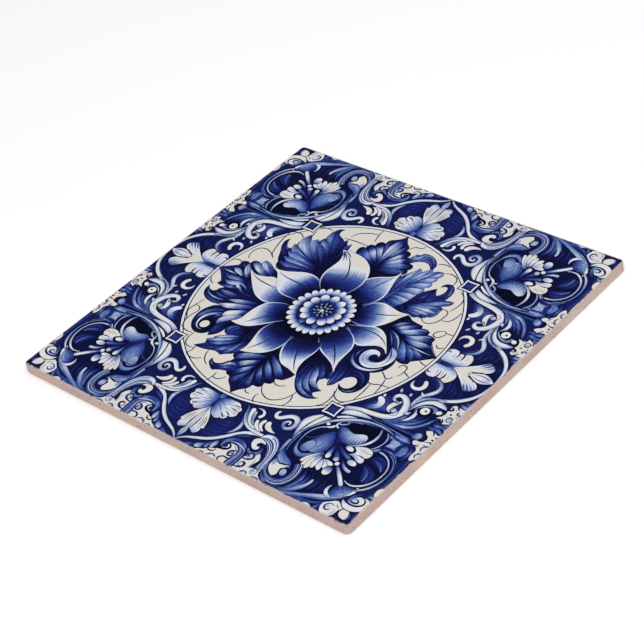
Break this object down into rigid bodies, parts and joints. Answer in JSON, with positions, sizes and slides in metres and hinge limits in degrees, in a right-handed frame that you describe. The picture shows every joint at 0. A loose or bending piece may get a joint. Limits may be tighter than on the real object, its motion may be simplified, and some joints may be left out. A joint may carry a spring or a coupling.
{
  "type": "azulejo tile",
  "caption": "Square glazed ceramic wall tile with a painted blue-and-white floral medallion, a rolled face rim and a keyed back for bedding.",
  "frame": {"origin": "middle of the tile's back, on the plane of the ribs and rim that the tile lies on", "axes": "+Z out of the painted face, +X and +Y along two edges of the square"},
  "size_m": [0.15, 0.15, 0.004],
  "materials": {
    "biscuit": "matte",
    "painted_glaze": "gloss"
  },
  "bodies": {
    "root": {"tile": "biscuit"}
  },
  "joints": []
}
